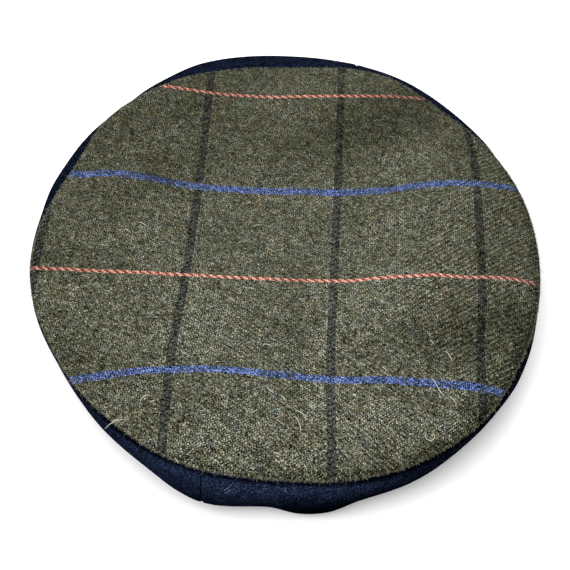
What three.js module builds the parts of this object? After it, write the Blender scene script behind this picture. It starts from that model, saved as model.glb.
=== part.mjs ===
import * as THREE from 'three';

// A tam o' shanter lying flat: a round tweed crown, sewn to a fuller body of felted wool that is made
// of two half rings, and a plain headband that stands inside it.
// Millimetres, +Z up. The near side is -Y and the right side +X. Azimuths turn from +X towards +Y, in
// degrees, and heights are above the surface that the hat lies on.

// Driving sizes
const CROWN_RADIUS = 140;
const TWEED_THICKNESS = 2;
const WOOL_THICKNESS = 2;
const SEAM_GAP = 0.3;
const SEAM_LAP = 3;
const EDGE_ROUND = 0.7;
const BAND_INNER_RADIUS = 91;
const BAND_THICKNESS = 3;
const BAND_HEIGHT = 26;
const BAND_SEAM_DROP = 3.5;
const BAND_EDGE = 1;
const RADIAL_SEAM_AZIMUTH = 73;

// How finely the faces follow the shapes. The crown and the body share their spokes
const PANEL_SECTIONS = 48;
const BAND_SPOKES = 72;
const CURVE_STEPS = 5;
const CURVE_ROUNDNESS = 0.55;
const CROWN_RINGS = [0, 30, 55, 75, 95, 113, 127, CROWN_RADIUS - SEAM_LAP];

// The crown is dished: its middle sags into the head opening, the headband holds it up further out,
// and its rim waves up and down. It isn't quite round either, and reach is its radius there
const CENTRE_HEIGHT = 27;
const RIDGE_RADIUS = 91;
const CROWN_WAVE = [
  { azimuth: 5, reach: 138, ridge: 38.5, rim: 37.5 },
  { azimuth: 30, reach: 139.3, ridge: 37, rim: 36.5 },
  { azimuth: 46, reach: 138.5, ridge: 36, rim: 38.8 },
  { azimuth: 65, reach: 142, ridge: 35.5, rim: 42.5 },
  { azimuth: 90, reach: 140, ridge: 35.5, rim: 39.5 },
  { azimuth: 120, reach: 139.5, ridge: 34.5, rim: 44.5 },
  { azimuth: 140, reach: 141.5, ridge: 33.5, rim: 42.5 },
  { azimuth: 154, reach: 137.5, ridge: 33, rim: 38.5 },
  { azimuth: 184, reach: 142, ridge: 31.5, rim: 33 },
  { azimuth: 208, reach: 136.5, ridge: 31, rim: 24 },
  { azimuth: 228, reach: 137, ridge: 37, rim: 33 },
  { azimuth: 250, reach: 141, ridge: 41, rim: 40.5 },
  { azimuth: 268, reach: 138.2, ridge: 37, rim: 36 },
  { azimuth: 290, reach: 142, ridge: 36, rim: 33 },
  { azimuth: 312, reach: 142.5, ridge: 37, rim: 32 },
  { azimuth: 328, reach: 140, ridge: 38, rim: 31 },
  { azimuth: 342, reach: 140.6, ridge: 38.5, rim: 32 },
];
const CROWN_DENTS = [
  { x: -5, y: 40, depth: 3, spread: 36 },
];

// The wool body, a row for each place where its fold changes: how far the fold stands out beyond the
// crown, the height of the fold, and the radius and height of the lowest point under it
const BODY_FOLDS = [
  { azimuth: 0, out: 0.6, fold: 24, lowRadius: 124, low: 3 },
  { azimuth: 24, out: 1.5, fold: 26, lowRadius: 124, low: 4 },
  { azimuth: 37, out: 6.5, fold: 30, lowRadius: 126, low: 4 },
  { azimuth: 46, out: 9, fold: 32, lowRadius: 127, low: 5 },
  { azimuth: 58, out: 6.5, fold: 34, lowRadius: 126, low: 5 },
  { azimuth: 68, out: 10, fold: 34, lowRadius: 127, low: 5 },
  { azimuth: 85, out: 15.5, fold: 31.5, lowRadius: 130, low: 5 },
  { azimuth: 109, out: 18, fold: 33, lowRadius: 131, low: 5 },
  { azimuth: 121, out: 10, fold: 36, lowRadius: 127, low: 5 },
  { azimuth: 134, out: 3, fold: 34, lowRadius: 124, low: 4 },
  { azimuth: 148, out: 9.5, fold: 31, lowRadius: 127, low: 4 },
  { azimuth: 158, out: 8.5, fold: 29, lowRadius: 127, low: 3 },
  { azimuth: 170, out: 2, fold: 25, lowRadius: 124, low: 3 },
  { azimuth: 195, out: 0.5, fold: 18, lowRadius: 123, low: 2 },
  { azimuth: 212, out: 0.8, fold: 16, lowRadius: 124, low: 1 },
  { azimuth: 228, out: 2.6, fold: 26, lowRadius: 125, low: 1 },
  { azimuth: 240, out: 3.6, fold: 28.5, lowRadius: 126, low: 1 },
  { azimuth: 248, out: 5.4, fold: 22, lowRadius: 129, low: 1 },
  { azimuth: 255, out: 5.4, fold: 19.5, lowRadius: 131, low: 1 },
  { azimuth: 266, out: 4, fold: 17, lowRadius: 132, low: 0.7 },
  { azimuth: 272, out: 4.2, fold: 7, lowRadius: 137, low: 0.4 },
  { azimuth: 278, out: 4.2, fold: 8, lowRadius: 137, low: 0.4 },
  { azimuth: 285, out: 3, fold: 19, lowRadius: 132, low: 1 },
  { azimuth: 296, out: 3, fold: 20.5, lowRadius: 128, low: 2 },
  { azimuth: 308, out: 1.8, fold: 25, lowRadius: 124, low: 3 },
  { azimuth: 318, out: 1.3, fold: 25, lowRadius: 124, low: 3 },
  { azimuth: 329, out: 2.7, fold: 24, lowRadius: 124, low: 3 },
  { azimuth: 342, out: 0.8, fold: 24, lowRadius: 124, low: 3 },
];

const BAND_OUTER_RADIUS = BAND_INNER_RADIUS + BAND_THICKNESS;

const tweed = new THREE.MeshStandardMaterial({ color: 0x5f604f, roughness: 0.95, metalness: 0 });
const wool = new THREE.MeshStandardMaterial({ color: 0x171e31, roughness: 0.9, metalness: 0 });
const bandWool = new THREE.MeshStandardMaterial({ color: 0x141a2b, roughness: 0.92, metalness: 0 });

// A smooth closed curve through one column of a table, read by azimuth
function around(table, column) {
  const count = table.length;
  function row(index) {
    const turn = Math.floor(index / count);
    const source = table[index - turn * count];
    return { azimuth: source.azimuth + 360 * turn, value: source[column] };
  }
  return (azimuth) => {
    const angle = THREE.MathUtils.euclideanModulo(azimuth, 360);
    let index = 0;
    while (row(index + 1).azimuth <= angle) {
      index += 1;
    }
    const before = row(index - 1);
    const from = row(index);
    const to = row(index + 1);
    const after = row(index + 2);
    const span = to.azimuth - from.azimuth;
    const leaving = (span * (to.value - before.value)) / (to.azimuth - before.azimuth);
    const arriving = (span * (after.value - from.value)) / (after.azimuth - from.azimuth);
    const t = (angle - from.azimuth) / span;
    const blend = t * t * (3 - 2 * t);
    const ease = t * (1 - t);
    return from.value + blend * (to.value - from.value) + ease * ((1 - t) * leaving - t * arriving);
  };
}

const crownReach = around(CROWN_WAVE, 'reach');
const ridgeHeight = around(CROWN_WAVE, 'ridge');
const rimHeight = around(CROWN_WAVE, 'rim');
const foldOut = around(BODY_FOLDS, 'out');
const foldHeight = around(BODY_FOLDS, 'fold');
const lowRadius = around(BODY_FOLDS, 'lowRadius');
const lowHeight = around(BODY_FOLDS, 'low');

// Height of the crown's upper face: along each spoke a curve of the third and fourth powers of the
// radius, through the ridge over the headband and the rim, less the dents
function crownHeight(radius, azimuth) {
  const ridge = ridgeHeight(azimuth) - CENTRE_HEIGHT;
  const rim = rimHeight(azimuth) - CENTRE_HEIGHT;
  const u = radius / crownReach(azimuth);
  const v = RIDGE_RADIUS / crownReach(azimuth);
  const fourth = (ridge / v ** 3 - rim) / (v - 1);
  const third = rim - fourth;
  const angle = THREE.MathUtils.degToRad(azimuth);
  let height = CENTRE_HEIGHT + u ** 3 * (third + fourth * u);
  for (const dent of CROWN_DENTS) {
    const distance = Math.hypot(radius * Math.cos(angle) - dent.x, radius * Math.sin(angle) - dent.y);
    height -= dent.depth * Math.exp(-0.5 * (distance / dent.spread) ** 2);
  }
  return height;
}

// The crown is turned as a flat disc with a rounded edge. Then every point is moved out to the crown's
// reach and lifted to its height
function makeCrown() {
  const profile = [
    ...CROWN_RINGS.map((radius) => new THREE.Vector2(radius, 0)),
    new THREE.Vector2(CROWN_RADIUS - EDGE_ROUND, 0),
    new THREE.Vector2(CROWN_RADIUS, -EDGE_ROUND),
    new THREE.Vector2(CROWN_RADIUS, EDGE_ROUND - TWEED_THICKNESS),
    new THREE.Vector2(CROWN_RADIUS - EDGE_ROUND, -TWEED_THICKNESS),
    ...CROWN_RINGS.map((radius) => new THREE.Vector2(radius, -TWEED_THICKNESS)).reverse(),
  ];
  const firstSpoke = THREE.MathUtils.degToRad(90 + RADIAL_SEAM_AZIMUTH);
  const geometry = new THREE.LatheGeometry(profile.reverse(), 2 * PANEL_SECTIONS, firstSpoke);
  geometry.rotateX(Math.PI / 2);
  const position = geometry.attributes.position;
  for (let i = 0; i < position.count; i += 1) {
    const azimuth = THREE.MathUtils.radToDeg(Math.atan2(position.getY(i), position.getX(i)));
    const stretch = crownReach(azimuth) / CROWN_RADIUS;
    const x = position.getX(i) * stretch;
    const y = position.getY(i) * stretch;
    position.setXYZ(i, x, y, position.getZ(i) + crownHeight(Math.hypot(x, y), azimuth));
  }
  return geometry;
}

// The outer face of the wool body at one azimuth, from under the crown's edge, whose fall it follows,
// round the fold and in to the headband, as a path of radius and height
function bodyProfile(azimuth) {
  const reach = crownReach(azimuth);
  const underCrown = -TWEED_THICKNESS - SEAM_GAP;
  const startHeight = crownHeight(reach - SEAM_LAP, azimuth) + underCrown;
  const start = new THREE.Vector2(reach - SEAM_LAP, startHeight);
  const edgeHeight = crownHeight(reach, azimuth) + underCrown;
  const fall = Math.max(0, startHeight - edgeHeight) / SEAM_LAP;
  const fold = new THREE.Vector2(reach + foldOut(azimuth), foldHeight(azimuth));
  const low = new THREE.Vector2(lowRadius(azimuth), lowHeight(azimuth));
  const end = new THREE.Vector2(BAND_OUTER_RADIUS + SEAM_GAP, BAND_HEIGHT - BAND_SEAM_DROP);
  const handle = CURVE_ROUNDNESS * (fold.x - start.x);
  const shoulder = new THREE.CubicBezierCurve(
    start,
    new THREE.Vector2(start.x + handle, start.y - fall * handle),
    new THREE.Vector2(fold.x, THREE.MathUtils.lerp(fold.y, start.y, CURVE_ROUNDNESS)),
    fold,
  );
  const under = new THREE.CubicBezierCurve(
    fold,
    new THREE.Vector2(fold.x, THREE.MathUtils.lerp(fold.y, low.y, CURVE_ROUNDNESS)),
    new THREE.Vector2(THREE.MathUtils.lerp(low.x, fold.x, CURVE_ROUNDNESS), low.y),
    low,
  );
  const web = new THREE.CubicBezierCurve(
    low,
    new THREE.Vector2(THREE.MathUtils.lerp(low.x, end.x, CURVE_ROUNDNESS), low.y),
    new THREE.Vector2(THREE.MathUtils.lerp(end.x, low.x, CURVE_ROUNDNESS), end.y),
    end,
  );
  const path = new THREE.CurvePath();
  path.add(shoulder);
  path.add(under);
  path.add(web);
  return path;
}

// Both faces of the wool at one azimuth: pairs of points, outer and inner
function bodySection(azimuth) {
  const angle = THREE.MathUtils.degToRad(azimuth);
  const section = { outer: [], inner: [] };
  for (const curve of bodyProfile(azimuth).curves) {
    const first = section.outer.length === 0 ? 0 : 1;
    for (let step = first; step <= CURVE_STEPS; step += 1) {
      const t = step / CURVE_STEPS;
      const point = curve.getPoint(t);
      const along = curve.getTangent(t);
      const inward = new THREE.Vector2(along.y, -along.x).multiplyScalar(WOOL_THICKNESS);
      for (const [side, spot] of [['outer', point], ['inner', point.clone().add(inward)]]) {
        section[side].push(new THREE.Vector3(spot.x * Math.cos(angle), spot.x * Math.sin(angle), spot.y));
      }
    }
  }
  return section;
}

// A closed sheet through a row of sections
function loftSheet(sections) {
  const rings = sections.map((section) => [...section.outer, ...[...section.inner].reverse()]);
  const size = rings[0].length;
  const positions = rings.flat().flatMap((point) => point.toArray());
  const indices = [];
  for (let i = 0; i + 1 < rings.length; i += 1) {
    for (let j = 0; j < size; j += 1) {
      const next = (j + 1) % size;
      const a = i * size + j;
      const b = i * size + next;
      const c = (i + 1) * size + next;
      const d = (i + 1) * size + j;
      indices.push(a, b, c, a, c, d);
    }
  }
  const last = (rings.length - 1) * size;
  for (let j = 0; j + 1 < size / 2; j += 1) {
    const far = size - 1 - j;
    indices.push(j, far, j + 1, j + 1, far, far - 1);
    indices.push(last + j, last + j + 1, last + far, last + j + 1, last + far - 1, last + far);
  }
  const geometry = new THREE.BufferGeometry();
  geometry.setAttribute('position', new THREE.Float32BufferAttribute(positions, 3));
  geometry.setIndex(indices);
  geometry.computeVertexNormals();
  return geometry;
}

// One half of the wool body, between the two radial seams
function makePanel(firstSeam) {
  const margin = THREE.MathUtils.radToDeg(SEAM_GAP / 2 / BAND_OUTER_RADIUS);
  const sections = [];
  for (let i = 0; i <= PANEL_SECTIONS; i += 1) {
    const azimuth = firstSeam + margin + ((180 - 2 * margin) * i) / PANEL_SECTIONS;
    sections.push(bodySection(azimuth));
  }
  return loftSheet(sections);
}

// The headband is a plain ring with a rounded top edge and a flat bottom edge
function makeBand() {
  const profile = [
    [BAND_INNER_RADIUS, 0],
    [BAND_OUTER_RADIUS, 0],
    [BAND_OUTER_RADIUS, BAND_HEIGHT - BAND_EDGE],
    [BAND_OUTER_RADIUS - BAND_EDGE, BAND_HEIGHT],
    [BAND_INNER_RADIUS + BAND_EDGE, BAND_HEIGHT],
    [BAND_INNER_RADIUS, BAND_HEIGHT - BAND_EDGE],
    [BAND_INNER_RADIUS, 0],
  ];
  const points = profile.map(([radius, height]) => new THREE.Vector2(radius, height));
  const geometry = new THREE.LatheGeometry(points, BAND_SPOKES);
  geometry.rotateX(Math.PI / 2);
  return geometry;
}

function addPiece(group, name, geometry, material) {
  const piece = new THREE.Mesh(geometry, material);
  piece.name = name;
  group.add(piece);
}

const hat = new THREE.Group();
addPiece(hat, 'tweed_crown', makeCrown(), tweed);
addPiece(hat, 'wool_panel_left', makePanel(RADIAL_SEAM_AZIMUTH), wool);
addPiece(hat, 'wool_panel_right', makePanel(RADIAL_SEAM_AZIMUTH + 180), wool);
addPiece(hat, 'headband', makeBand(), bandWool);

// The origin is under the middle of the whole hat
const bounds = new THREE.Box3().setFromObject(hat);
const middle = bounds.getCenter(new THREE.Vector3());
hat.position.set(-middle.x, -middle.y, -bounds.min.z);
hat.updateMatrixWorld(true);

export default hat;
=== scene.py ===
"""The looks of a tam o' shanter that lies flat: a tweed crown over a body of felted navy wool.

Shapes are worked out in millimetres in the hat's own frame, whose origin is on the floor under the
crown's middle: +X is the photo's right, -Y its near side and +Z up. Azimuths turn from +X towards +Y,
in degrees. new_piece turns millimetres into the frame's metres.
"""

import math

import bpy
import numpy as np
from mathutils import Matrix, Vector
from mathutils.geometry import delaunay_2d_cdt


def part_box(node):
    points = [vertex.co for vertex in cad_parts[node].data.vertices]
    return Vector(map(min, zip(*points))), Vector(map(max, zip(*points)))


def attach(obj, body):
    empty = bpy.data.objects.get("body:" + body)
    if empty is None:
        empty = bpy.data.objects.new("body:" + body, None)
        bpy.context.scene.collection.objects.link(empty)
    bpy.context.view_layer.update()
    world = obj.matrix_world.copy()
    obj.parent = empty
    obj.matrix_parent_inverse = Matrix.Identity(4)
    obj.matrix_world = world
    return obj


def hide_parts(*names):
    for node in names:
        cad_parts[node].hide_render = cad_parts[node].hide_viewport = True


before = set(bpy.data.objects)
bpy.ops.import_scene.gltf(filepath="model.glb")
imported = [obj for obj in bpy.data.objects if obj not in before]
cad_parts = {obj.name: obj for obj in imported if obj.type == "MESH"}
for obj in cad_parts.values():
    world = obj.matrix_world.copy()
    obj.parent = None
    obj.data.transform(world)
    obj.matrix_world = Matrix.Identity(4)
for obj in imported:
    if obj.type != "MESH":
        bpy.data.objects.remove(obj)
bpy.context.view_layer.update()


def named_columns(columns, rows):
    """A table of numbers whose columns are read by name."""
    return np.array(rows, dtype=[(column, float) for column in columns.split()])


MM = 0.001
UP = np.array([0.0, 0.0, 1.0])

# Where the hat's own frame lies, and the headband's size, from the CAD headband
band_low, band_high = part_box("headband")
HAT_X = (band_low.x + band_high.x) / 2
HAT_Y = (band_low.y + band_high.y) / 2
BAND_OUTER_RADIUS = (band_high.x - band_low.x) / 2 / MM
BAND_HEIGHT = band_high.z / MM
BAND_THICKNESS = 3
BAND_INNER_RADIUS = BAND_OUTER_RADIUS - BAND_THICKNESS
STITCH_ROWS = (2.5, BAND_HEIGHT - 7)

# The cloths
TWEED_THICKNESS = 2
WOOL_THICKNESS = 2
SEAM_GAP = 0.3
SEAM_LAP = 3
BAND_SEAM_DROP = 3.5
RADIAL_SEAM_AZIMUTH = 73
CURVE_ROUNDNESS = 0.55
BODY_CURVE_STEPS = 16

# The crown's waves: its reach, and its height over the headband and at the rim
CENTRE_HEIGHT = 27
RIDGE_RADIUS = 91
CROWN_WAVE = named_columns("azimuth reach ridge rim", [
    (5, 138.5, 38.5, 37.5),
    (30, 140, 37, 36.5),
    (46, 138.5, 36, 38.5),
    (65, 141.5, 35.5, 42.5),
    (90, 139.5, 35.5, 38.5),
    (120, 141, 34.5, 44),
    (140, 139.5, 33.5, 45.5),
    (154, 137.5, 33, 37),
    (184, 142, 31.5, 32.5),
    (208, 137, 31, 25),
    (228, 136.5, 37, 32),
    (250, 141, 41, 41),
    (268, 138, 37, 36),
    (290, 141.5, 36, 32.5),
    (312, 143.5, 37, 32),
    (328, 140.5, 38, 31),
    (342, 140, 38.5, 32),
])
DENT_X = -5
DENT_Y = 40
DENT_DEPTH = 3
DENT_SPREAD = 36

# The crown's edge is rolled under, and its seam allowance shows from above as a low raised band
EDGE_ROLL = 1.6
EDGE_BAND = 8
EDGE_BAND_SLOPE = 3
EDGE_BAND_HEIGHT = 0.35
CROWN_RIPPLE = 0.3
CROWN_RIPPLE_LENGTHS = (31, 43, 27, 52)

# The body's folds: how far it stands out beyond the crown, the fold's height, and the lowest point's
# radius and height
BODY_FOLDS = named_columns("azimuth out fold low_radius low", [
    (0, 1, 24, 124, 3),
    (24, 2.5, 27.5, 124, 4),
    (37, 7, 29.5, 126, 4),
    (46, 8.5, 32, 127, 5),
    (58, 7.5, 36.5, 126, 5),
    (68, 10.5, 33.5, 127, 5),
    (85, 15, 33, 130, 5),
    (109, 16.5, 34, 131, 5),
    (121, 12, 33, 127, 5),
    (134, 4, 37, 124, 4),
    (148, 9.5, 31.5, 127, 4),
    (158, 8.5, 30, 127, 3),
    (170, 3.5, 29, 124, 3),
    (195, 1, 17.5, 123, 2),
    (212, 0.2, 17, 124, 1),
    (228, 3, 24.5, 125, 1),
    (240, 4, 30, 126, 1),
    (248, 4, 18, 129, 1),
    (255, 5, 17.5, 131, 1),
    (266, 4, 19, 132, 0.7),
    (272, 4.5, 8.5, 137, 0.4),
    (278, 5, 10.5, 137, 0.4),
    (285, 3, 20.5, 132, 1),
    (296, 2.5, 21, 128, 2),
    (308, 0.5, 24, 124, 3),
    (318, 1, 26.5, 124, 3),
    (329, 2.5, 22, 124, 3),
    (342, 1, 25, 124, 3),
])

# Painted shade on the body round the hat: how much darker it is painted, how fast that painted shade
# deepens down the side to the turned-under part, and how wide the painted shadow is in the ditch where
# it goes in under the crown. A shade of 1 darkens the cloth e times
BODY_PAINTED_SHADE = named_columns("azimuth shade fall ditch", [
    (20, 1.3, 0.2, 0.8),
    (60, 0.85, 0.2, 0.8),
    (90, 0.75, 0.2, 0.8),
    (150, 1.1, 0.2, 0.8),
    (195, 1.2, 0.2, 0.8),
    (228, 0.9, 0.1, 0.8),
    (240, 0.45, 0.4, 0.9),
    (250, 0.1, 0.5, 0.9),
    (258, 0, 0.5, 0.9),
    (267, 0, 0.7, 0.9),
    (274, 0, 1.1, 1),
    (283, 0.1, 1.5, 1.3),
    (292, 0.8, 1.1, 1.8),
    (305, 1.6, 0.4, 1.6),
    (330, 1.7, 0.3, 1),
])
# The ditch under the crown's edge: how far down the cloth it lies, how deep it is and how dark its
# painted shadow is. Then where the painted shade down the side begins, over what length it grows, and
# how steeply
DITCH_DOWN = 3.8
DITCH_DEPTH = 0.8
DITCH_PAINTED_SHADE = 1.8
FALL_FROM = 5
FALL_OVER = 22
FALL_POWER = 1.5

# The body's fine relief: heights, how far apart the puckers and gathers are, and where the puckers are
# strongest and over what width, from the seam or the crown's edge
SEAM_ROLL = 0.5
SEAM_ROLL_WIDTH = 0.8
SEAM_PUCKER = 0.22
SEAM_PUCKER_SPACING = 7
SEAM_PUCKER_HILL = (3, 5)
CROWN_PUCKER = 0.25
CROWN_PUCKER_HILL = (7, 4)
GATHER = 0.5
GATHER_SPACING = 9.5
GATHER_REACH = 14
BODY_RIPPLE = 0.35
BODY_RIPPLE_LENGTHS = (34, 23, 47, 61)

# The tweed: a two and two twill with an overcheck. Ends run away from the camera and picks across
END_PITCH = 1.12
PICK_PITCH = 0.772
ENDS_PER_CHECK = 72
PICKS_PER_CHECK = 84
# The crossings that are made, wide enough to hold the whole crown
END_RANGE = (-92, 190)
PICK_RANGE = (-190, 226)
CHECK_ACROSS = END_PITCH * ENDS_PER_CHECK
CHECK_ALONG = PICK_PITCH * PICKS_PER_CHECK
CLOTH_TURN = math.radians(-2.8)
CLOTH_X = -14.4
CLOTH_Y = 16.4
CHARCOAL_ENDS = 4
ORANGE_PICKS = 2.6
BLUE_PICKS = 5.6
# How strongly the tweed's grain shows, at the near side and at the far side. The stronger grain
# also makes the near side lighter: painted light
TWEED_CONTRAST = (1.42, 0.84)
TWILL_WAVE = math.pi / 2
FLOAT_ARCH = math.pi / 2 * 0.92
FIBRE_PULL = 1.6
# How strongly the lighter and darker diagonal lines show
LINES_AT_RIGHT = 0.36
LINES_AT_NEAR_SIDE = 0.23
LINES_ELSEWHERE = 0.1
# Where they change, in metres on the hat: past the edge of a wedge at the right, and from the near
# side to the middle
WEDGE_MIDDLE = -0.04
WEDGE_SLOPE = -0.6
WEDGE_EDGE = (0.045, 0.065)
NEAR_SIDE_EDGE = (-0.08, 0)
# What varies the tweed's shade: the middle value of each, and how strongly it counts
SHADE_PARTS = {
    "grain": (0.5, 1.5),
    "fibres": (0.4, 1.7),
    "own": (0.5, 0.7),
    "specks": (0.05, 2.0),
    "tufts": (0.55, 2.4),
}
# Painted shade: the tweed is painted darker by these shades in 100 mm towards the far side and the
# left, where less light falls, and in at its right edge, where the rolled edge turns from the light
FAR_SHADE = 0.13
LEFT_SHADE = 0.09
EDGE_SHADE = 1.45
EDGE_SHADE_WIDTH = 3.8
EDGE_SHADE_WAY = (0.77, -0.64)
CROWN_RADIUS = 140
# Patches of painted shade, where the crown's creases and hollows fall in shade. Headings are in degrees,
# the spreads along and across them in millimetres, and a shade of 1 darkens the cloth e times
PAINTED_SHADE_PATCHES = named_columns("x y heading along across depth", [
    (70, 100, 20, 50, 15, 0.75),
    (90, -55, 10, 27, 13, 0.75),
    (121, -48, 80, 12, 9, 0.25),
    (125, 15, 165, 25, 35, 0.5),
    (-75, 55, 40, 40, 9, 0.4),
    (-145, -55, 155, 70, 14, 0.55),
    (5, -50, 90, 45, 6, 0.4),
    (100, 70, 65, 10, 6, 0.45),
    (-80, 95, 30, 70, 9, 0.25),
    (115, -85, 35, 70, 35, 0.35),
    (-125, -145, 15, 70, 30, 0.3),
    (-143, -5, 0, 45, 8, 0.3),
])

# How far the cloth's lines are pulled aside where it was sewn: the line is counted in checks from the
# middle, and along and aside are millimetres
UP_LINES = named_columns("line along aside", [
    (-1.5, -30, -2.4),
    (-1.5, 10, -2.4),
    (-0.5, -137, 0),
    (-0.5, -78, -1.8),
    (-0.5, -26, -0.4),
    (-0.5, 41, 1),
    (-0.5, 103, 2),
    (0.5, -147, 1.9),
    (0.5, -93, 0.2),
    (0.5, -27, 0.8),
    (0.5, 41, 1.7),
    (0.5, 105, 1.9),
    (1.5, -78, -4),
    (1.5, -46, -1.2),
    (1.5, 0, -0.2),
    (1.5, 57, -0.4),
    (1.5, 78, -3.5),
])
ACROSS_LINES = named_columns("line along aside", [
    (-1.5, -82, -2.1),
    (-1.5, -44, -0.7),
    (-1.5, 11, 1.5),
    (-1.5, 48, -0.4),
    (-1.5, 66, -0.1),
    (-1.5, 102, -2.3),
    (-0.5, -114, -1.4),
    (-0.5, -91, -1.2),
    (-0.5, -45, 1.3),
    (-0.5, 1, 2.1),
    (-0.5, 48, 1.8),
    (-0.5, 71, 2.6),
    (-0.5, 93, 1.9),
    (-0.5, 115, -1.4),
    (0.5, -106, -0.9),
    (0.5, -86, 1.5),
    (0.5, -44, -0.8),
    (0.5, 0, 0),
    (0.5, 19, 0.5),
    (0.5, 61, -1.1),
    (0.5, 102, 0.4),
    (0.5, 136, -1.4),
    (1.5, -60, 0.3),
    (1.5, -38, -0.3),
    (1.5, -5, -0.3),
    (1.5, 17, 1),
    (1.5, 50, 1.1),
    (1.5, 90, 0.4),
])

# Stray fibres on the crown: their middles, headings and curls in degrees, lengths, and shades as
# counted in STRAY_SHADES
STRAY_FIBRES = named_columns("x y heading length curl shade", [
    (75, -62, -59, 3.5, -10, 0),
    (83, -71, -65, 7.3, -15, 0),
    (75, -88, -65, 10.7, -5, 0),
    (83, -96, -51, 5.2, -10, 0),
    (70, -115, -20, 10.6, 260, 0),
    (50, -77, -49, 4.4, 15, 0),
    (-71, -95, 35, 6.2, -100, 0),
    (-67, -98, 28, 3, -5, 0),
    (-86, -106, 14, 10.5, -45, 0),
    (-53, -130, -52, 3.3, -5, 0),
    (-17, 25, 12, 4.4, -20, 0),
    (-8, 14, -50, 2.8, -15, 0),
    (-82, 21, -23, 6.4, -50, 0),
    (-90, 16, -30, 3.7, -10, 0),
    (79, -46, -74, 2.8, 0, 0),
    (7, -103, -36, 7.4, 0, 0),
    (5.5, -109, -69, 9.7, -40, 0),
    (-10, -60, -15, 5, -40, 0),
    (14, -75, -25, 3, -50, 0),
    (-8.5, -90, -45, 5.4, 45, 0),
    (-2, -94, -52, 4.4, -55, 0),
    (-5, -125.5, -12, 4.2, -70, 0),
    (77, -92, -54, 4, -10, 0),
    (-6, -102, -30, 3.6, -20, 1),
    (87, 70, -20, 3, 30, 2),
])
# Stray fibres on the body's near side: the azimuth and the way down the cloth of their two ends
BODY_STRAYS = named_columns("from from_down to to_down", [
    (257.6, 11.5, 259.2, 6),
    (257.8, 13.5, 259, 9.5),
    (269.5, 5.5, 270, 8.7),
])
STRAY_SHADES = [
    ("pale_fibre", (205, 200, 178)),
    ("teal_fibre", (86, 140, 160)),
    ("rust_fibre", (150, 92, 60)),
    ("slate_fibre", (128, 134, 154)),
]
BODY_STRAY_SHADE = 3
CROWN_STRAY_WIDTH = 0.32
BODY_STRAY_WIDTH = 0.17

# The nap's fibres: their dyes as red, green and blue from 0 to 255, and their shares
NAP_SHADES = [
    ("nap_straw", (160, 157, 137), 0.14),
    ("nap_pale_olive", (132, 134, 112), 0.30),
    ("nap_olive", (100, 102, 83), 0.22),
    ("nap_tan", (130, 116, 92), 0.12),
    ("nap_green", (93, 107, 88), 0.08),
    ("nap_dark", (28, 29, 25), 0.14),
]
NAP_COUNT = 12500
NAP_RADIUS = 137.5
EDGE_FIBRES = 5200
FIBRE_CLEARANCE = 0.06

# The dyes. A ramp's stops go from one kind of tuft to the other, and the orange's from its painted
# shade to its painted highlight
OLIVE_RAMP = [
    (0.3, (62, 66, 57)),
    (0.44, (67, 68, 55)),
    (0.56, (69, 69, 55)),
    (0.66, (73, 69, 54)),
    (0.75, (75, 65, 53)),
]
GREEN_TUFTS = (62, 69, 52)
PALE_TUFTS = (70, 71, 60)
ORANGE_RAMP = [(0.15, (88, 44, 34)), (0.5, (172, 102, 86)), (0.9, (228, 178, 162))]
CHARCOAL = (34, 36, 33)
CHARCOAL_COVER = 0.66
BLUE = (61, 74, 108)
BLUE_COVER = 0.88
THREAD = (30, 36, 58)
# The felted wools, as the linear values that a shader takes, and how strongly their grain shows
NAVY_WOOL = (0.0078, 0.0122, 0.0272, 1)
NAVY_CONTRAST = 9.5
BAND_WOOL = (0.005, 0.008, 0.019, 1)
BAND_CONTRAST = 3

# The stage, in metres. The lights are disks: their places, sizes and powers
FLOOR_RADIUS = 9
FLOOR_SPOKES = 96
FLOOR_TONES = (0.88, 0.9)
SKY_STRENGTH = 1.1
LIGHTS = [("key", (-0.35, -0.3, 1.0), 0.9, 8), ("back", (0.3, 0.9, 1.2), 1.2, 6)]
LIGHT_AIM_HEIGHT = 0.03

# The camera stands above the near side. Lengths are from the hat's own origin
PHOTO_SIDE = 570
CAMERA_AIM = (-1, -20.9, 31)
CAMERA_DISTANCE = 571
CAMERA_ELEVATION = math.radians(55.4)
CAMERA_ROLL = math.radians(-0.1)
FOCAL_PIXELS = 1046
SENSOR_WIDTH = 36


# Curves and surfaces


def hill(distance, middle, width):
    """A smooth hill of height 1 round a middle."""
    return np.exp(-(((distance - middle) / width) ** 2))


def unit(vectors):
    return vectors / np.maximum(np.linalg.norm(vectors, axis=-1, keepdims=True), 1e-9)


def turned(radius, angle, height):
    """Points at some distances from the hat's axis, angles in radians, and heights."""
    parts = (radius * np.cos(angle), radius * np.sin(angle), height)
    return np.stack(np.broadcast_arrays(*parts), axis=-1)


def smooth_line(places, values, at):
    """A smooth curve through values at places, read elsewhere. Its slopes are those of the chords."""
    slopes = np.zeros(len(values))
    slopes[1:-1] = (values[2:] - values[:-2]) / (places[2:] - places[:-2])
    at = np.clip(at, places[0], places[-1])
    i = np.clip(np.searchsorted(places, at, side="right") - 1, 0, len(places) - 2)
    span = places[i + 1] - places[i]
    t = (at - places[i]) / span
    rise = t * t * (3 - 2 * t) * (values[i + 1] - values[i])
    return values[i] + rise + t * (1 - t) * span * ((1 - t) * slopes[i] - t * slopes[i + 1])


def around(table, column, azimuth):
    """A closed smooth curve through one column of a table."""
    places = np.concatenate([table["azimuth"] + turn for turn in (-360, 0, 360)])
    return smooth_line(places, np.tile(table[column], 3), np.mod(azimuth, 360))


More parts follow.
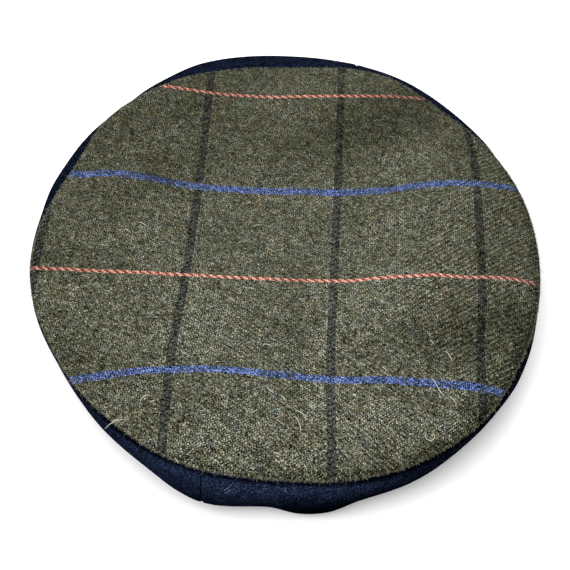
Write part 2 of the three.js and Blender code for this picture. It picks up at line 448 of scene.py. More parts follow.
def bend(table, across, along):
    """How far the cloth is pulled aside: smooth along each line of a table, and even between lines."""
    lines = np.unique(table["line"])
    pulls = []
    for line in lines:
        rows = table[table["line"] == line]
        pulls.append(smooth_line(rows["along"], rows["aside"], along))
    pulls = np.stack(pulls)
    across = np.clip(across, lines[0], lines[-1])
    k = np.clip(np.searchsorted(lines, across, side="right") - 1, 0, len(lines) - 2)
    share = (across - lines[k]) / (lines[k + 1] - lines[k])
    before = np.take_along_axis(pulls, k[None], axis=0)[0]
    after = np.take_along_axis(pulls, k[None] + 1, axis=0)[0]
    return before + share * (after - before)


def ripples(x, y, wavelengths, seed):
    """Gentle unevenness from -1 to 1: waves in seeded directions, added up."""
    rng = np.random.default_rng(seed)
    total = np.zeros(np.shape(x))
    for wavelength in wavelengths:
        angle = rng.uniform(0, 2 * math.pi)
        phase = rng.uniform(0, 2 * math.pi)
        reach = x * math.cos(angle) + y * math.sin(angle)
        total = total + np.sin(reach * 2 * math.pi / wavelength + phase)
    return total / len(wavelengths)


def crown_height(x, y):
    """Height of the crown's upper face, as in the CAD solid."""
    azimuth = np.degrees(np.arctan2(y, x))
    radius = np.hypot(x, y)
    reach = around(CROWN_WAVE, "reach", azimuth)
    ridge = around(CROWN_WAVE, "ridge", azimuth) - CENTRE_HEIGHT
    rim = around(CROWN_WAVE, "rim", azimuth) - CENTRE_HEIGHT
    u = radius / reach
    v = RIDGE_RADIUS / reach
    fourth = (ridge / v**3 - rim) / (v - 1)
    height = CENTRE_HEIGHT + u**3 * (rim - fourth + fourth * u)
    dent = np.exp(-0.5 * ((x - DENT_X) ** 2 + (y - DENT_Y) ** 2) / DENT_SPREAD**2)
    return height - DENT_DEPTH * dent


def bezier(points, t):
    """A cubic Bezier curve's points and directions. points is four arrays of (radius, height)."""
    a, b, c, d = (p[:, None, :] for p in points)
    t = t[None, :, None]
    s = 1 - t
    place = s**3 * a + 3 * s * s * t * b + 3 * s * t * t * c + t**3 * d
    along = 3 * s * s * (b - a) + 6 * s * t * (c - b) + 3 * t * t * (d - c)
    return place, unit(along)


def lerp(a, b, share):
    return a + share * (b - a)


def body_profile(azimuth):
    """The body's outer face at some azimuths, from under the crown's edge round the fold and in to the
    headband: places and directions as (radius, height), and how far down the cloth they lie."""
    angle = np.radians(azimuth)
    reach = around(CROWN_WAVE, "reach", azimuth)
    under_crown = TWEED_THICKNESS + SEAM_GAP

    def rim_height(radius):
        return crown_height(radius * np.cos(angle), radius * np.sin(angle)) - under_crown

    def at(radius, height):
        return np.stack([radius, height], axis=1)

    def bowed(a, b):
        return lerp(a, b, CURVE_ROUNDNESS)

    start = at(reach - SEAM_LAP, rim_height(reach - SEAM_LAP))
    fall = np.maximum(0, start[:, 1] - rim_height(reach)) / SEAM_LAP
    out, fold_height, low_radius, low_height = (
        around(BODY_FOLDS, column, azimuth) for column in ("out", "fold", "low_radius", "low")
    )
    fold = at(reach + out, fold_height)
    low = at(low_radius, low_height)
    end_point = (BAND_OUTER_RADIUS + SEAM_GAP, BAND_HEIGHT - BAND_SEAM_DROP)
    end = np.tile(end_point, (len(azimuth), 1))
    handle = CURVE_ROUNDNESS * (fold[:, 0] - start[:, 0])
    starting = at(start[:, 0] + handle, start[:, 1] - fall * handle)
    above_fold = at(fold[:, 0], bowed(fold[:, 1], start[:, 1]))
    below_fold = at(fold[:, 0], bowed(fold[:, 1], low[:, 1]))
    beyond_low = at(bowed(low[:, 0], fold[:, 0]), low[:, 1])
    within_low = at(bowed(low[:, 0], end[:, 0]), low[:, 1])
    ending = at(bowed(end[:, 0], low[:, 0]), end[:, 1])
    curves = [
        (start, starting, above_fold, fold),
        (fold, below_fold, beyond_low, low),
        (low, within_low, ending, end),
    ]
    places, ways = [], []
    for k, curve in enumerate(curves):
        t = np.linspace(0, 1, BODY_CURVE_STEPS + 1)[0 if k == 0 else 1 :]
        place, along = bezier(curve, t)
        places.append(place)
        ways.append(along)
    places = np.concatenate(places, axis=1)
    walked = np.linalg.norm(np.diff(places, axis=1), axis=2)
    down = np.concatenate([np.zeros((len(azimuth), 1)), np.cumsum(walked, axis=1)], axis=1)
    return places, np.concatenate(ways, axis=1), down


# The cloth's threads on the crown


def cloth_to_hat(ends, picks):
    """Where on the hat a place in the tweed lies, counted in ends and picks."""
    across = ends * END_PITCH - CHECK_ACROSS / 2
    along = picks * PICK_PITCH - CHECK_ALONG / 2
    a = across + bend(UP_LINES, across / CHECK_ACROSS, along) + CLOTH_X
    b = along + bend(ACROSS_LINES, along / CHECK_ALONG, across) + CLOTH_Y
    c, s = math.cos(CLOTH_TURN), math.sin(CLOTH_TURN)
    return c * a - s * b, s * a + c * b


def hat_to_cloth(x, y):
    """The place in the tweed, in ends and picks, at a place on the hat."""
    c, s = math.cos(CLOTH_TURN), math.sin(CLOTH_TURN)
    a = c * x + s * y - CLOTH_X
    b = -s * x + c * y - CLOTH_Y
    across, along = a, b
    for _ in range(4):
        pull = bend(UP_LINES, across / CHECK_ACROSS, along)
        lift = bend(ACROSS_LINES, along / CHECK_ALONG, across)
        across, along = a - pull, b - lift
    return (across + CHECK_ACROSS / 2) / END_PITCH, (along + CHECK_ALONG / 2) / PICK_PITCH


# Making pieces


def new_object(name, data):
    made = bpy.data.objects.new(name, data)
    bpy.context.scene.collection.objects.link(made)
    return made


def new_piece(name, points, face_groups, materials, shades=None):
    """An object from points in the hat's frame and groups of faces with equally many corners."""
    world = np.asarray(points, float) * MM + (HAT_X, HAT_Y, 0)
    mesh = bpy.data.meshes.new(name)
    corners = np.concatenate([np.asarray(f).ravel() for f in face_groups])
    counts = np.concatenate([np.full(len(f), np.shape(f)[1]) for f in face_groups])
    starts = np.concatenate([[0], np.cumsum(counts)[:-1]])
    mesh.vertices.add(len(world))
    mesh.vertices.foreach_set("co", world.astype(np.float32).ravel())
    mesh.loops.add(len(corners))
    mesh.loops.foreach_set("vertex_index", corners.astype(np.int32))
    mesh.polygons.add(len(counts))
    mesh.polygons.foreach_set("loop_start", starts.astype(np.int32))
    mesh.polygons.foreach_set("use_smooth", np.ones(len(counts), bool))
    for material in materials:
        mesh.materials.append(material)
    if shades is not None:
        mesh.polygons.foreach_set("material_index", np.asarray(shades, np.int32))
    mesh.update(calc_edges=True)
    mesh.validate()
    piece = new_object(name, mesh)
    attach(piece, "root")
    return piece


def add_attribute(piece, name, kind, field, values):
    attribute = piece.data.attributes.new(name, kind, "POINT")
    attribute.data.foreach_set(field, values.astype(np.float32).ravel())


def strips(first, second, closed=True):
    """Four-cornered faces between two rows of point numbers."""
    if closed:
        return np.stack([first, np.roll(first, -1), np.roll(second, -1), second], axis=1)
    return np.stack([first[:-1], first[1:], second[1:], second[:-1]], axis=1)


def fill_between(points, loops, keep=None):
    """Triangles between closed loops of edges. keep, where given, says which middles stay."""
    numbers = np.unique(np.concatenate([np.ravel(loop) for loop in loops]))
    place_of = {number: k for k, number in enumerate(numbers)}
    flat = [Vector(points[number][:2]) for number in numbers]
    edges = [(place_of[a], place_of[b]) for loop in loops for a, b in loop]
    made = delaunay_2d_cdt(flat, edges, [], 1, 1e-5)
    sources = [numbers[origin[0]] for origin in made[3]]
    triangles = np.array([[sources[k] for k in face] for face in made[2]])
    if keep is None:
        return triangles
    return triangles[keep(points[triangles][:, :, :2].mean(axis=1))]


# Materials


def srgb(red, green, blue):
    """A colour given as 0 to 255 numbers, as the linear values that a shader takes."""
    values = []
    for value in (red, green, blue):
        c = value / 255
        values.append(c / 12.92 if c <= 0.04045 else ((c + 0.055) / 1.055) ** 2.4)
    return (*values, 1)


class Graph:
    """A material's nodes, with short ways to add and join them."""

    def __init__(self, name):
        self.material = bpy.data.materials.new(name)
        self.material.use_nodes = True
        self.nodes = self.material.node_tree.nodes
        self.links = self.material.node_tree.links
        self.nodes.clear()

    def feed(self, socket, value):
        if isinstance(value, bpy.types.NodeSocket):
            self.links.new(value, socket)
        elif value is not None:
            socket.default_value = value

    def add(self, kind, inputs=(), **settings):
        node = self.nodes.new(kind)
        for name, value in settings.items():
            setattr(node, name, value)
        for name, value in dict(inputs).items():
            self.feed(node.inputs[name], value)
        return node

    def math(self, operation, *values):
        node = self.add("ShaderNodeMath", operation=operation)
        for socket, value in zip(node.inputs, values):
            self.feed(socket, value)
        return node.outputs[0]

    def times(self, a, b):
        return self.math("MULTIPLY", a, b)

    def less(self, a, b):
        return self.math("SUBTRACT", a, b)

    def on_hat(self):
        return self.add("ShaderNodeTexCoord").outputs["Object"]

    def vector(self, x, y, z):
        return self.add("ShaderNodeCombineXYZ", {"X": x, "Y": y, "Z": z}).outputs[0]

    def mix(self, share, a, b, blend="MIX"):
        node = self.add("ShaderNodeMix", data_type="RGBA", blend_type=blend)
        self.feed(node.inputs[0], share)
        self.feed(node.inputs[6], a)
        self.feed(node.inputs[7], b)
        return node.outputs[2]

    def blend(self, share, a, b):
        node = self.add("ShaderNodeMix", data_type="FLOAT")
        self.feed(node.inputs[0], share)
        self.feed(node.inputs[2], a)
        self.feed(node.inputs[3], b)
        return node.outputs[0]

    def noise(self, vector, scale, detail=2, roughness=0.5):
        inputs = {"Vector": vector, "Scale": scale, "Detail": detail, "Roughness": roughness}
        return self.add("ShaderNodeTexNoise", inputs).outputs["Fac"]

    def remap(self, value, low, high, to_low=0, to_high=1, kind="LINEAR"):
        inputs = {0: value, 1: low, 2: high, 3: to_low, 4: to_high}
        return self.add("ShaderNodeMapRange", inputs, interpolation_type=kind).outputs[0]

    def ramp(self, value, stops):
        node = self.add("ShaderNodeValToRGB", {"Fac": value})
        elements = node.color_ramp.elements
        while len(elements) < len(stops):
            elements.new(0.5)
        for element, (place, colour) in zip(elements, stops):
            element.position = place
            element.color = srgb(*colour)
        return node.outputs["Color"]

    def grey(self, value):
        return self.add("ShaderNodeCombineColor", {0: value, 1: value, 2: value}).outputs[0]

    def power_of_e(self, value):
        return self.math("POWER", math.e, value)

    def bump(self, height, strength):
        inputs = {"Strength": strength, "Distance": MM, "Height": height}
        return self.add("ShaderNodeBump", inputs).outputs[0]

    def finish(self, colour, bump, **shader_values):
        shader = self.add("ShaderNodeBsdfPrincipled")
        for name, value in shader_values.items():
            self.feed(shader.inputs[name.replace("_", " ")], value)
        self.feed(shader.inputs["Base Color"], colour)
        self.feed(shader.inputs["Normal"], bump)
        output = self.add("ShaderNodeOutputMaterial")
        self.links.new(shader.outputs[0], output.inputs[0])
        return self.material


def tweed_material():
    """Heathered twill under a matted nap. The nap's fibres show as fine curls over dark gaps. Noise
    scales are per millimetre in the cloth's plane, and per metre on the hat."""
    g = Graph("tweed")
    # The weave attribute gives the place in ends and picks, and as its third number how much painted
    # shade darkens the tweed there
    weave = g.add("ShaderNodeAttribute", attribute_name="weave", attribute_type="GEOMETRY")
    place = g.add("ShaderNodeSeparateXYZ", {"Vector": weave.outputs["Vector"]})
    ends, picks, darker = (place.outputs[axis] for axis in "XYZ")
    end = g.math("FLOOR", ends)
    pick = g.math("FLOOR", picks)
    across, along = g.times(ends, END_PITCH), g.times(picks, PICK_PITCH)
    cloth = g.vector(across, along, 0)

    # An end is on top for two picks and under for two, one pick further on for each end
    past_end = g.less(end, picks)
    along_end = g.math("WRAP", past_end, 2, -2)
    end_on_top = g.math("LESS_THAN", g.math("ABSOLUTE", along_end), 1)
    past_pick = g.less(g.less(ends, pick), 3)
    along_pick = g.math("WRAP", past_pick, 2, -2)

    def float_height(side_place, length_place):
        side = g.math("MULTIPLY_ADD", g.math("FRACT", side_place), 2, -1)
        round_side = g.less(1, g.times(side, side))
        arch = g.math("COSINE", g.times(length_place, FLOAT_ARCH))
        return g.math("SQRT", g.math("MAXIMUM", g.times(round_side, arch), 0))

    height = g.blend(end_on_top, float_height(picks, along_pick), float_height(ends, along_end))

    # Each float's own shade
    end_float = g.math("FLOOR", g.math("DIVIDE", g.less(2, past_end), 4))
    pick_float = g.math("FLOOR", g.math("DIVIDE", g.math("ADD", past_pick, 2), 4))
    first = g.blend(end_on_top, pick, end)
    second = g.blend(end_on_top, pick_float, end_float)
    float_number = g.vector(first, second, end_on_top)
    own = g.add("ShaderNodeTexWhiteNoise", {"Vector": float_number}).outputs["Value"]

    # Matted fibres: grain, and curls along the level lines of a warped noise
    warp = g.add("ShaderNodeTexNoise", {"Vector": cloth, "Scale": 0.7, "Detail": 1}).outputs["Color"]
    pull = g.add("ShaderNodeVectorMath", {0: warp, 1: (0.5, 0.5, 0.5)}, operation="SUBTRACT")
    pull_size = (FIBRE_PULL, FIBRE_PULL, FIBRE_PULL)
    pulled = g.add(
        "ShaderNodeVectorMath", {0: pull.outputs[0], 1: pull_size, 2: cloth}, operation="MULTIPLY_ADD"
    ).outputs[0]
    grain = g.remap(g.noise(cloth, scale=1.3, detail=1), 0.34, 0.66)

    def curls(offset, scale, width):
        moved = g.add("ShaderNodeVectorMath", {0: pulled, 1: (0, 0, offset)}, operation="ADD")
        level = g.less(g.noise(moved.outputs[0], scale, detail=1), 0.5)
        return g.remap(g.math("ABSOLUTE", level), 0, width, 1, 0, "SMOOTHSTEP")

    short_curls = curls(offset=3, scale=0.75, width=0.1)
    long_curls = curls(offset=11, scale=0.6, width=0.06)
    fibres = g.math("MAXIMUM", short_curls, g.times(long_curls, 0.7))
    dots = g.add("ShaderNodeTexVoronoi", {"Vector": pulled, "Scale": 1.0, "Randomness": 1})
    near_dot = g.remap(dots.outputs["Distance"], 0.2, 0.4, 1, 0, "SMOOTHSTEP")
    lit = g.add("ShaderNodeSeparateColor", {"Color": dots.outputs["Color"]}).outputs[0]
    specks = g.times(near_dot, g.remap(lit, 0.75, 0.95))

    coordinates = g.on_hat()
    sides = g.add("ShaderNodeSeparateXYZ", {"Vector": coordinates})
    rightward, far = sides.outputs["X"], sides.outputs["Y"]
    # The grain grows stronger towards the near side, and so paints that side lighter: painted light
    grain_strength_and_painted_light = g.remap(far, -CROWN_RADIUS * MM, CROWN_RADIUS * MM, *TWEED_CONTRAST)
    tuft_shade = g.noise(coordinates, scale=260, detail=2, roughness=0.6)

    # Lighter and darker diagonal lines: along the twill at the right, and across it elsewhere
    off_middle = g.math("ABSOLUTE", g.math("ADD", far, -WEDGE_MIDDLE))
    at_right = g.math("MULTIPLY_ADD", off_middle, WEDGE_SLOPE, rightward)
    at_right = g.remap(at_right, *WEDGE_EDGE, 0, 1, "SMOOTHSTEP")
    across_lines = g.remap(far, *NEAR_SIDE_EDGE, LINES_AT_NEAR_SIDE, LINES_ELSEWHERE, "SMOOTHSTEP")
    along_twill = g.times(at_right, LINES_AT_RIGHT)
    across_twill = g.times(g.less(1, at_right), across_lines)

    # The shade is worked out as a power of e
    # The floats are painted lighter on top and darker in the hollows between them: painted light and
    # shade of the weave, stronger where it shows clearly
    clear = g.remap(g.noise(coordinates, scale=35, detail=2), 0.4, 0.6, 1.0, 2.8, "SMOOTHSTEP")
    signal = g.times(g.less(height, 0.6), clear)
    for value, (middle, weight) in zip((grain, fibres, own, specks, tuft_shade), SHADE_PARTS.values()):
        signal = g.math("MULTIPLY_ADD", g.less(value, middle), weight, signal)
    for operation, strength in (("SUBTRACT", along_twill), ("ADD", across_twill)):
        count = g.math(operation, ends, picks)
        line = g.math("COSINE", g.times(count, TWILL_WAVE))
        signal = g.math("MULTIPLY_ADD", line, strength, signal)
    signal = g.times(signal, grain_strength_and_painted_light)
    signal = g.times(signal, g.math("MULTIPLY_ADD", signal, -0.1, 1))
    # The painted shade darkens the tweed
    signal = g.less(signal, darker)
    shade = g.math("MINIMUM", g.power_of_e(signal), 7)

    # Olive wool with tan, rust, green and slate tufts carded in
    tufts = g.noise(coordinates, scale=170, detail=3, roughness=0.6)
    other_tufts = g.noise(coordinates, scale=120, detail=2, roughness=0.55)
    olive = g.ramp(tufts, OLIVE_RAMP)
    green = g.remap(other_tufts, 0.58, 0.72, 0, 0.4, "SMOOTHSTEP")
    wool = g.mix(green, olive, srgb(*GREEN_TUFTS))
    pale = g.remap(shade, 1, 4, 0, 0.5)
    wool = g.mix(pale, wool, srgb(*PALE_TUFTS))

    # The overcheck's threads, and a tint of them where a plain thread passes over
    def stripe(count, repeat, threads, centre=0):
        away = g.math("WRAP", g.less(count, centre), repeat / 2, -repeat / 2)
        return g.math("LESS_THAN", g.math("ABSOLUTE", away), threads / 2)

    pick_on_top = g.less(1, end_on_top)
    repeat = 2 * PICKS_PER_CHECK
    ragged = g.math("MULTIPLY_ADD", g.less(fibres, 0.5), 0.9, picks)
    orange = stripe(picks, repeat, ORANGE_PICKS)
    blue = stripe(ragged, repeat, BLUE_PICKS, PICKS_PER_CHECK)
    charcoal = stripe(ends, ENDS_PER_CHECK, CHARCOAL_ENDS)
    # The orange picks take the same painted shade
    painted_shade_on_orange = g.grey(g.power_of_e(g.math("MULTIPLY_ADD", darker, -1.3, -0.05)))
    # The orange picks are painted lighter at each float's middle and darker at its ends, mixed with the
    # grain: painted highlight and painted shade
    dash = g.math("SINE", g.times(g.math("ADD", ends, picks), TWILL_WAVE))
    orange_grain_and_painted_light = g.math("MULTIPLY_ADD", dash, 0.35, g.math("MULTIPLY_ADD", grain, 0.8, 0.1))
    orange_wool = g.mix(1, g.ramp(orange_grain_and_painted_light, ORANGE_RAMP), painted_shade_on_orange, "MULTIPLY")
    for mask, thread, dye, cover in (
        (charcoal, end_on_top, CHARCOAL, CHARCOAL_COVER),
        (blue, pick_on_top, BLUE, BLUE_COVER),
    ):
        share = g.times(mask, g.blend(thread, cover, 1))
        wool = g.mix(share, wool, srgb(*dye))
    blueness = g.remap(tufts, 0, 1, 1.14, 0.86)
    blue_shade = g.times(g.math("POWER", shade, 1.1), blueness)
    level = g.add("ShaderNodeCombineColor", {0: shade, 1: shade, 2: blue_shade}).outputs[0]
    colour = g.mix(1, wool, level, "MULTIPLY")
    colour = g.mix(orange, colour, orange_wool)
    relief = g.math("ADD", g.times(height, 0.15), g.times(fibres, 0.12))
    return g.finish(colour, g.bump(relief, 0.8), Roughness=0.92, Specular_IOR_Level=0)


def wool_material(name, wool, contrast):
    """Felted wool: short matted fibres, with a faint mottle."""
    g = Graph(name)
    coordinates = g.on_hat()
    nap = g.noise(coordinates, scale=1400, detail=2, roughness=0.7)
    mottle = g.noise(coordinates, scale=260, detail=3, roughness=0.6)
    signal = g.times(g.less(nap, 0.5), contrast)
    signal = g.math("MULTIPLY_ADD", g.less(mottle, 0.5), contrast / 4, signal)
    # The painted shade that the pieces carry darkens the wool
    wool_painted_shade = g.add("ShaderNodeAttribute", attribute_name="shade", attribute_type="GEOMETRY").outputs["Fac"]
    shade = g.math("MINIMUM", g.power_of_e(g.less(signal, wool_painted_shade)), 8)
    colour = g.mix(1, wool, g.grey(shade), "MULTIPLY")
    bump = g.bump(g.times(nap, 0.3), 0.7)
    return g.finish(colour, bump, Roughness=0.9, Specular_IOR_Level=0)


def fibre_material(name, dye):
    return Graph(name).finish(srgb(*dye), None, Roughness=0.8, Specular_IOR_Level=0.1)


# The crown


def crown_inset(x, y):
    """How far in from the crown's edge a place is."""
    return around(CROWN_WAVE, "reach", np.degrees(np.arctan2(y, x))) - np.hypot(x, y)


def crown_surface(x, y):
    """The crown's upper face with the seam allowance that shows under it as a low raised edge."""
    edge = np.clip((EDGE_BAND - crown_inset(x, y)) / EDGE_BAND_SLOPE, 0, 1)
    swell = EDGE_BAND_HEIGHT * edge * edge * (3 - 2 * edge)
    return crown_height(x, y) + swell + CROWN_RIPPLE * ripples(x, y, CROWN_RIPPLE_LENGTHS, 4)


def tweed_painted_shade(x, y):
    """How much painted shade darkens the tweed at a place, for its creases and the light's fall."""
    at_edge = EDGE_SHADE * np.exp(-crown_inset(x, y) / EDGE_SHADE_WIDTH)
    right = np.maximum(0, EDGE_SHADE_WAY[0] * x + EDGE_SHADE_WAY[1] * y) / CROWN_RADIUS
    shade = FAR_SHADE * y / 100 - LEFT_SHADE * x / 100 + right * at_edge
    for patch_x, patch_y, heading, spread_along, spread_across, depth in PAINTED_SHADE_PATCHES:
        c, s = math.cos(math.radians(heading)), math.sin(math.radians(heading))
        along = ((x - patch_x) * c + (y - patch_y) * s) / spread_along
        across = ((y - patch_y) * c - (x - patch_x) * s) / spread_across
        shade = shade + depth * np.exp(-0.5 * (along**2 + across**2))
    return shade


def make_crown(material):
    """The top face is a mesh of the weave's crossings, where the ends' floats stand a little higher.
    Its edge is rolled under, and the lower face is plain."""
    spokes = 720
    roll_steps = 9
    rim_width = 2.6
    wale = 0.05
    cloth_round_roll = 1.2
    lower_spacing = 7
    lower_reach = 147

    ends = np.arange(*END_RANGE) + 0.5
    picks = np.arange(*PICK_RANGE) + 0.5
    end, pick = (grid.ravel() for grid in np.meshgrid(ends, picks, indexing="ij"))
    x, y = cloth_to_hat(end, pick)
    inside = (crown_inset(x, y) > rim_width).reshape(len(ends), len(picks))
    whole = inside[:-1, :-1] & inside[1:, :-1] & inside[1:, 1:] & inside[:-1, 1:]
    number = np.arange(inside.size).reshape(inside.shape)
    corner = (number[:-1, :-1], number[1:, :-1], number[1:, 1:], number[:-1, 1:])
    quads = np.stack([c[whole] for c in corner], axis=1)
    wave = wale * np.cos((end - pick - 0.5) * TWILL_WAVE)
    top = np.stack([x, y, crown_surface(x, y) + wave], axis=1)
    used, renumbered = np.unique(quads, return_inverse=True)
    quads = renumbered.reshape(-1, 4)
    points = [top[used]]
    weave = [np.stack([end, pick], axis=1)[used]]

    # The rolled edge, from the top face round to the lower one
    azimuth = np.linspace(0, 360, spokes, endpoint=False)
    angle = np.radians(azimuth)
    flat = around(CROWN_WAVE, "reach", azimuth) - EDGE_ROLL
    middle = crown_surface(flat * np.cos(angle), flat * np.sin(angle)) - TWEED_THICKNESS / 2
    rings = []
    count = len(used)
    for turn in np.radians(np.linspace(90, -90, roll_steps)):
        height = middle + TWEED_THICKNESS / 2 * math.sin(turn)
        points.append(turned(flat + EDGE_ROLL * math.cos(turn), angle, height))
        seen = flat + (1 - turn / (math.pi / 2)) * cloth_round_roll
        weave.append(np.stack(hat_to_cloth(seen * np.cos(angle), seen * np.sin(angle)), axis=1))
        rings.append(np.arange(count, count + spokes))
        count += spokes

    # The lower face, on a coarse grid
    steps = np.arange(-lower_reach, lower_reach + 1, lower_spacing)
    low_x, low_y = (grid.ravel() for grid in np.meshgrid(steps, steps))
    under = crown_inset(low_x, low_y) > lower_spacing
    low_x, low_y = low_x[under], low_y[under]
    points.append(np.stack([low_x, low_y, crown_surface(low_x, low_y) - TWEED_THICKNESS], axis=1))
    weave.append(np.stack(hat_to_cloth(low_x, low_y), axis=1))
    lower = np.arange(count, count + len(low_x))
    points = np.concatenate(points)

    sides = np.concatenate([quads[:, [k, (k + 1) % 4]] for k in range(4)])
    _, first, uses = np.unique(
        np.sort(sides, axis=1), axis=0, return_index=True, return_counts=True
    )
    open_edges = sides[first[uses == 1]]
    ring_edges = [np.stack([ring, np.roll(ring, -1)], axis=1) for ring in (rings[0], rings[-1])]

    def beyond_cells(middles):
        end, pick = hat_to_cloth(middles[:, 0], middles[:, 1])
        i = np.floor(end - ends[0]).astype(int)
        j = np.floor(pick - picks[0]).astype(int)
        return ~whole[i, j]

    # A lower point joins no edge of its own, so it goes in as an edge from itself to itself
    border = fill_between(points, [open_edges, ring_edges[0]], beyond_cells)
    loose = np.stack([lower, lower], axis=1)
    under = fill_between(points, [ring_edges[1], loose])[:, ::-1]
    roll_faces = np.concatenate([strips(b, a) for a, b in zip(rings[:-1], rings[1:])])
    faces = [quads, roll_faces, border, under]
    crown = new_piece("crown_cloth", points, faces, [material])
    # The third number of the weave attribute is the painted shade
    values = np.c_[np.concatenate(weave), tweed_painted_shade(points[:, 0], points[:, 1])]
    add_attribute(crown, "weave", "FLOAT_VECTOR", "vector", values)
    return crown


# The body


def make_panel(name, first_seam, material):
    """One half of the wool body, rolled in along its two radial seams and eased on to the headband."""
    spacing = 0.45
    margin = math.degrees(SEAM_GAP / 2 / BAND_OUTER_RADIUS)
    near_seam = np.degrees(np.array([0, 0.25, 0.5, 0.8, 1.2, 1.7, 2.3, 3]) / BAND_OUTER_RADIUS)
    middle = np.arange(near_seam[-1] + spacing, 180 - near_seam[-1], spacing)
    turn = np.concatenate([near_seam + margin, middle, 180 - margin - near_seam[::-1]])
    azimuth = first_seam + turn
    places, ways, down = body_profile(azimuth)
    outward = np.stack([-ways[:, :, 1], ways[:, :, 0]], axis=2)
    left = down[:, -1:] - down

    # nap reads the body's painted shade round the hat
    def nap(column):
        return around(BODY_PAINTED_SHADE, column, azimuth)[:, None]

    # The relief: along the radial seams, over the headband, under the crown's edge, and all over
    seam_distance = np.radians(np.minimum(turn, 180 - turn))[:, None] * places[:, :, 0]
    seam_roll = -SEAM_ROLL * hill(seam_distance, 0, SEAM_ROLL_WIDTH)
    seam_waves = np.sin(down * 2 * math.pi / SEAM_PUCKER_SPACING)
    pucker = SEAM_PUCKER * hill(seam_distance, *SEAM_PUCKER_HILL) * seam_waves
    girth = np.radians(azimuth)[:, None] * BAND_OUTER_RADIUS
    easing = GATHER * np.exp(-left / GATHER_REACH) * np.clip(left / 4, 0, 1)
    gathers = easing * np.sin(girth * 2 * math.pi / GATHER_SPACING + 1.3 * np.sin(girth / 23))
    crown_waves = np.sin(girth / 4.1 + 2 * np.sin(girth / 31))
    crown_pucker = CROWN_PUCKER * hill(down, *CROWN_PUCKER_HILL) * crown_waves
    soft = BODY_RIPPLE * ripples(girth, down, BODY_RIPPLE_LENGTHS, 8)
    free = np.clip((down - 4) / 8, 0, 1) * np.clip(left / 6, 0, 1)
    ditch = hill(down, DITCH_DOWN, nap("ditch"))
    relief = seam_roll + (pucker + soft) * free + gathers + crown_pucker * free - DITCH_DEPTH * ditch
    places = places + outward * relief[:, :, None]
    places[:, :, 1] = np.maximum(places[:, :, 1], 0.2)

    section = np.concatenate([places, (places - outward * WOOL_THICKNESS)[:, ::-1]], axis=1)
    points = turned(section[:, :, 0], np.radians(azimuth)[:, None], section[:, :, 1])
    rows, size = points.shape[:2]
    number = np.arange(rows * size).reshape(rows, size)
    faces = np.concatenate([strips(number[i], number[i + 1]) for i in range(rows - 1)])
    caps = []
    for row, flip in ((number[0], False), (number[-1], True)):
        cap = strips(row[: size // 2], row[::-1][: size // 2], closed=False)
        caps.append(cap[:, ::-1] if flip else cap)
    panel = new_piece(name, points.reshape(-1, 3), [faces, *caps], [material])
    # Painted shade: darker round the hat where the side falls in shade, deepening down the side to its
    # turned-under part, and a painted shadow in the ditch
    fall = nap("fall") * (np.clip(down - FALL_FROM, 0, FALL_OVER) / 10) ** FALL_POWER
    shade = nap("shade") + fall + DITCH_PAINTED_SHADE * ditch
    add_attribute(panel, "shade", "FLOAT", "value", np.concatenate([shade, shade[:, ::-1]], axis=1))
    return panel


# The headband and its stitching


def make_band(material):
    """A folded band with grooves where its two rows of stitches draw it in, joined at the back."""
    spokes = 480
    round_edge = 1.4
    groove, groove_width = 0.16, 0.8
    join_depth, join_width = 0.3, 0.9
    half = BAND_THICKNESS / 2
    middle = BAND_INNER_RADIUS + half
    heights = np.linspace(round_edge, BAND_HEIGHT - round_edge, 36)
    corner = np.radians(np.linspace(0, 180, 9)[1:-1])
    lift = round_edge * np.sin(corner)
    outline = np.concatenate(
        [
            np.c_[np.full_like(heights, half), heights],
            np.c_[half * np.cos(corner), BAND_HEIGHT - round_edge + lift],
            np.c_[np.full_like(heights, -half), heights[::-1]],
            np.c_[-half * np.cos(corner), round_edge - lift],
        ]
    )
    draw = sum(hill(outline[:, 1], row, groove_width) for row in STITCH_ROWS)
    outline[:, 0] *= 1 - groove * draw
    angle = np.linspace(0, 2 * math.pi, spokes, endpoint=False)
    past_back = angle - math.pi / 2
    join = hill(np.arctan2(np.sin(past_back), np.cos(past_back)) * middle, 0, join_width)
    radius = middle + outline[None, :, 0] * (1 - join_depth * join[:, None])
    points = turned(radius, angle[:, None], outline[:, 1])
    number = np.arange(points.size // 3).reshape(spokes, len(outline))
    following = np.roll(number, -1, axis=0)
    faces = np.concatenate([strips(a, b) for a, b in zip(number, following)])[:, ::-1]
    return new_piece("headband_cloth", points.reshape(-1, 3), [faces], [material])


def strands(paths, ups, widths, sides=3):
    """Closed thin strands along paths. paths is (strands, points, 3), ups the way that each lifts."""
    count, length = paths.shape[:2]
    way = unit(np.gradient(paths, axis=1))
    side = unit(np.cross(way, ups))
    lift = np.cross(side, way)
    rings = []
    for k in range(sides):
        angle = 2 * math.pi * k / sides + math.pi / 2
        offset = side * math.cos(angle) + lift * math.sin(angle)
        rings.append(paths + offset * widths[:, :, None] / 2)
    points = np.stack(rings, axis=2).reshape(-1, 3)
    number = np.arange(count * length * sides).reshape(count, length, sides)
    beside = np.roll(number, -1, axis=2)
    corners = [number[:, :-1], beside[:, :-1], beside[:, 1:], number[:, 1:]]
    walls = np.stack(corners, axis=3).reshape(-1, 4)
    ends = np.concatenate([number[:, 0, ::-1], number[:, -1]])
    owner_walls = np.repeat(np.arange(count), (length - 1) * sides)
    owner_ends = np.tile(np.arange(count), 2)
    return points, [walls, ends], np.concatenate([owner_walls, owner_ends])


